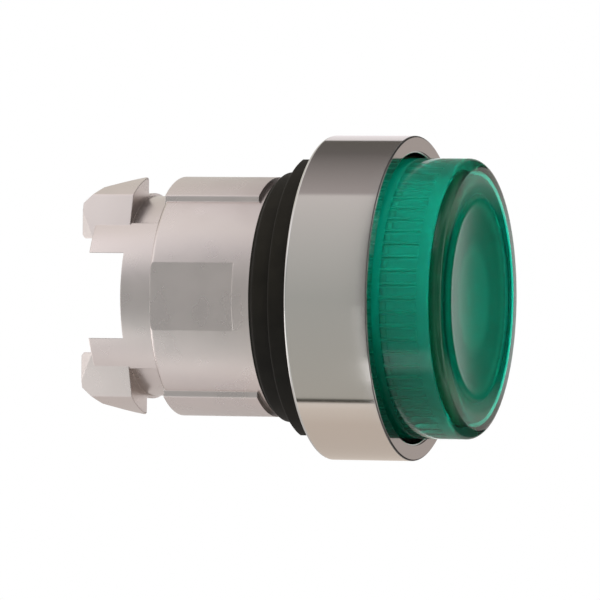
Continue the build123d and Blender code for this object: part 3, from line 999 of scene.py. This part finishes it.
def between_stops(stops, angle):
    """Linear colour at an angle, blended between the two nearest stops (degrees, hex colour)."""
    for (low, low_hex), (high, high_hex) in zip(stops, stops[1:]):
        if low <= angle <= high:
            share = (angle - low) / (high - low)
            return Vector(linear(low_hex)).lerp(Vector(linear(high_hex)), share)
    raise ValueError(f"no stops on both sides of {angle} degrees")


def card_material():
    """Studio card that glows in its own painted tones."""
    material, tree, output, _ = new_material("studio_card")
    tone = add_node(tree, "ShaderNodeVertexColor", layer_name="tone")
    glow = add_node(tree, "ShaderNodeEmission", None, {"Color": tone.outputs["Color"]})
    tree.links.new(glow.outputs["Emission"], output.inputs["Surface"])
    return material


def studio_card(name, points, faces, tones):
    """Card with a tone at each point, which only reflections see."""
    mesh = bpy.data.meshes.new(name)
    mesh.from_pydata(points, [], faces)
    layer = mesh.color_attributes.new("tone", "FLOAT_COLOR", "POINT")
    for item, tone in zip(layer.data, tones):
        item.color = rgba(tone)
    card = new_object(name, mesh)
    give(card, bpy.data.materials.get("studio_card") or card_material())
    card.visible_camera = False
    card.visible_diffuse = False
    card.visible_shadow = False


def card_grid(rows, columns):
    """Faces of a card whose points are counted row by row."""
    return [
        (r * columns + c, r * columns + c + 1, (r + 1) * columns + c + 1, (r + 1) * columns + c)
        for r in range(rows - 1) for c in range(columns - 1)
    ]


def light_tent(name, stations, stops):
    """Curved card round the part. A station is (y in millimetres, spread, level).

    The spread narrows the grey middle of the tones, and the level is their brightness.
    """
    first, last = stops[0][0], stops[-1][0]
    steps_per_degree = 2
    rows = (last - first) * steps_per_degree + 1
    points = []
    tones = []
    for row in range(rows):
        degrees = first + row / steps_per_degree
        angle = math.radians(degrees)
        for y, spread, level in stations:
            points.append((-TENT_RADIUS * math.cos(angle), y * MM, TENT_RADIUS * math.sin(angle)))
            tone = between_stops(stops, max(first, min(last, degrees * spread)))
            tones.append(tone * level)
    studio_card(name, points, card_grid(rows, len(stations)), tones)


def far_card():
    """Card past the lens: grey for the bezel's front, with black ahead of the dish.

    Its bands go forwards, as (y in millimetres, colour), and its columns go up, as (z in
    millimetres, share of plain grey).
    """
    away = 62 * MM
    grey = Vector(linear("#beb4b0"))
    bands = [(-8, "#beb4b0"), (-13, "#dcdedc"), (-25, "#dcdedc"), (-31, "#101010"),
             (-62, "#101010"), (-70, "#beb4b0"), (-84, "#d8d4d0")]
    columns = [(-45, 1), (-14, 1), (-8, 0), (8, 0), (14, 1), (45, 1)]
    points = [(away, y * MM, z * MM) for y, tone in bands for z, share in columns]
    tones = [
        Vector(linear(tone)).lerp(grey, share) for y, tone in bands for z, share in columns
    ]
    studio_card("far_card", points, card_grid(len(bands), len(columns)), tones)


def front_card():
    """Round card ahead of the lens, with rings as (radius in millimetres, colour).

    It is dark in the middle, with two pale rings that light the rounded edges.
    """
    ahead = -92 * MM
    rings = [
        (1, "#383838"), (13, "#383838"), (14.8, "#c8c4c0"), (20, "#c8c4c0"), (26, "#686664"),
        (46, "#686664"), (58, "#d0cecc"),
    ]
    spokes = 49
    points = []
    tones = []
    for radius, tone in rings:
        for k in range(spokes):
            angle = FULL_TURN * k / (spokes - 1)
            points.append((radius * MM * math.cos(angle), ahead, radius * MM * math.sin(angle)))
            tones.append(linear(tone))
    studio_card("front_card", points, card_grid(len(rings), spokes), tones)


def white_where_seen(tree, level):
    """The level where the camera, a reflection or glass looks, and none for matt surfaces."""
    path = add_node(tree, "ShaderNodeLightPath")
    direct = add_node(
        tree, "ShaderNodeMath", None,
        {0: path.outputs["Is Camera Ray"], 1: path.outputs["Is Glossy Ray"]}, operation="MAXIMUM",
    )
    seen = add_node(
        tree, "ShaderNodeMath", None,
        {0: direct.outputs[0], 1: path.outputs["Is Transmission Ray"]}, operation="MAXIMUM",
    )
    return add_node(
        tree, "ShaderNodeMath", {1: level}, {0: seen.outputs[0]}, operation="MULTIPLY",
    )


def plain_floor(props):
    """Pale floor, far enough below for a soft shadow."""
    half = 0.6
    glow_level = 0.3  # tops the lit paper up to white
    mesh = bpy.data.meshes.new("floor")
    corners = [(-half, -half), (half, -half), (half, half), (-half, half)]
    mesh.from_pydata([(x, y, -props.floor_drop) for x, y in corners], [], [(0, 1, 2, 3)])
    floor = new_object("floor", mesh)
    material, tree, output, _ = new_material("pale_floor")
    seen = white_where_seen(tree, glow_level)
    paper = add_node(tree, "ShaderNodeBsdfDiffuse", {"Color": rgba(linear("#e8e8e8"))})
    glow = add_node(
        tree, "ShaderNodeEmission", {"Color": (1, 1, 1, 1)}, {"Strength": seen.outputs[0]},
    )
    both = add_node(
        tree, "ShaderNodeAddShader", None, {0: paper.outputs["BSDF"], 1: glow.outputs["Emission"]},
    )
    tree.links.new(both.outputs["Shader"], output.inputs["Surface"])
    give(floor, material)


def soft_world(props):
    """White surroundings where they are seen, and a plain level of light on matt surfaces."""
    world = bpy.data.worlds.new("soft_world")
    world.use_nodes = True
    tree = world.node_tree
    tree.nodes.clear()
    seen = white_where_seen(tree, 1.0)
    level = add_node(
        tree, "ShaderNodeMapRange", {"To Min": props.sky_level, "To Max": 1.0},
        {"Value": seen.outputs[0]},
    )
    path = add_node(tree, "ShaderNodeLightPath")
    # Through the lens, the level of 1 rises to the glass level
    strength = add_node(
        tree, "ShaderNodeMath", {1: props.glass_level - 1.0},
        {0: path.outputs["Is Transmission Ray"], 2: level.outputs["Result"]},
        operation="MULTIPLY_ADD",
    )
    sky = add_node(
        tree, "ShaderNodeBackground", {"Color": (1, 1, 1, 1)}, {"Strength": strength.outputs[0]},
    )
    output = add_node(tree, "ShaderNodeOutputWorld")
    tree.links.new(sky.outputs["Background"], output.inputs["Surface"])
    bpy.context.scene.world = world


def softbox(name, place, size, power):
    """Large square lamp aimed at the part. Reflections see the tent and not the lamp."""
    data = bpy.data.lights.new(name, "AREA")
    data.shape = "SQUARE"
    data.size = size
    data.energy = power
    lamp = new_object(name, data)
    lamp.location = place
    lamp.rotation_mode = "QUATERNION"
    lamp.rotation_quaternion = (-Vector(place)).to_track_quat("-Z", "Y")
    lamp.visible_glossy = False


class PUSHBUTTON_OT_studio(Operator):
    """Set the pale floor, the white surroundings and the soft lamps"""

    bl_idname = "pushbutton.studio"
    bl_label = "Studio"

    def execute(self, context):
        props = context.scene.push_button.studio
        context.scene.view_settings.view_transform = "Standard"
        plain_floor(props)
        # The tent is dark near the lens, or it would show as a pale band on the lens's rim
        ahead_stations = [(-90, 1, 1), (-62, 1, 0.45), (-42, 1, 0.08), (-12, 1, 0.08)]
        light_tent("ahead_tent", ahead_stations, AHEAD_TONES)
        light_tent("lens_tent", [(-11.8, 1, 1), (4.8, 1, 1)], LENS_TONES)
        light_tent("front_tent", [(5, 1, 1), (17, 1, 1)], FRONT_TONES)
        rear_stations = [(17.5, 1, 1), (26, 1, 1.1), (36, 1.6, 1.35), (90, 1.6, 1.35)]
        light_tent("rear_tent", rear_stations, REAR_TONES)
        far_card()
        front_card()
        soft_world(props)
        lamp_size = 0.35
        softbox("key_softbox", (-0.35, -0.25, 0.5), lamp_size, props.key_power)
        softbox("fill_softbox", (-0.2, 0.55, 0.3), lamp_size, props.fill_power)
        return {"FINISHED"}


PIECE_OPERATORS = (
    PUSHBUTTON_OT_camera,
    PUSHBUTTON_OT_body,
    PUSHBUTTON_OT_bezel,
    PUSHBUTTON_OT_gasket,
    PUSHBUTTON_OT_lens,
    PUSHBUTTON_OT_light_parts,
    PUSHBUTTON_OT_slide_parts,
    PUSHBUTTON_OT_seals,
    PUSHBUTTON_OT_steel_parts,
    PUSHBUTTON_OT_spring,
    PUSHBUTTON_OT_studio,
)


class PUSHBUTTON_PT_sidebar(Panel):
    """Buttons and sizes of the push button head."""

    bl_idname = "PUSHBUTTON_PT_sidebar"
    bl_label = "Push Button"
    bl_space_type = "VIEW_3D"
    bl_region_type = "UI"
    bl_category = "Push Button"

    def draw(self, context):
        for operator in PIECE_OPERATORS:
            self.layout.operator(operator.bl_idname)
        groups = context.scene.push_button
        for name in ("body", "bezel", "gasket", "lens", "spring", "studio"):
            box = self.layout.box()
            box.label(text=name.capitalize())
            group = getattr(groups, name)
            for key in type(group).__annotations__:
                box.prop(group, key)


PROPERTY_GROUPS = (
    BodyProps, BezelProps, GasketProps, LensProps, SpringProps, StudioProps, PushButtonProps,
)


def register():
    for item in (*PROPERTY_GROUPS, *PIECE_OPERATORS, PUSHBUTTON_PT_sidebar):
        bpy.utils.register_class(item)
    bpy.types.Scene.push_button = PointerProperty(type=PushButtonProps)


def unregister():
    del bpy.types.Scene.push_button
    for item in reversed((*PROPERTY_GROUPS, *PIECE_OPERATORS, PUSHBUTTON_PT_sidebar)):
        bpy.utils.unregister_class(item)


def main():
    register()
    for operator in PIECE_OPERATORS:
        group, name = operator.bl_idname.split(".")
        getattr(getattr(bpy.ops, group), name)()


if __name__ == "__main__":
    main()
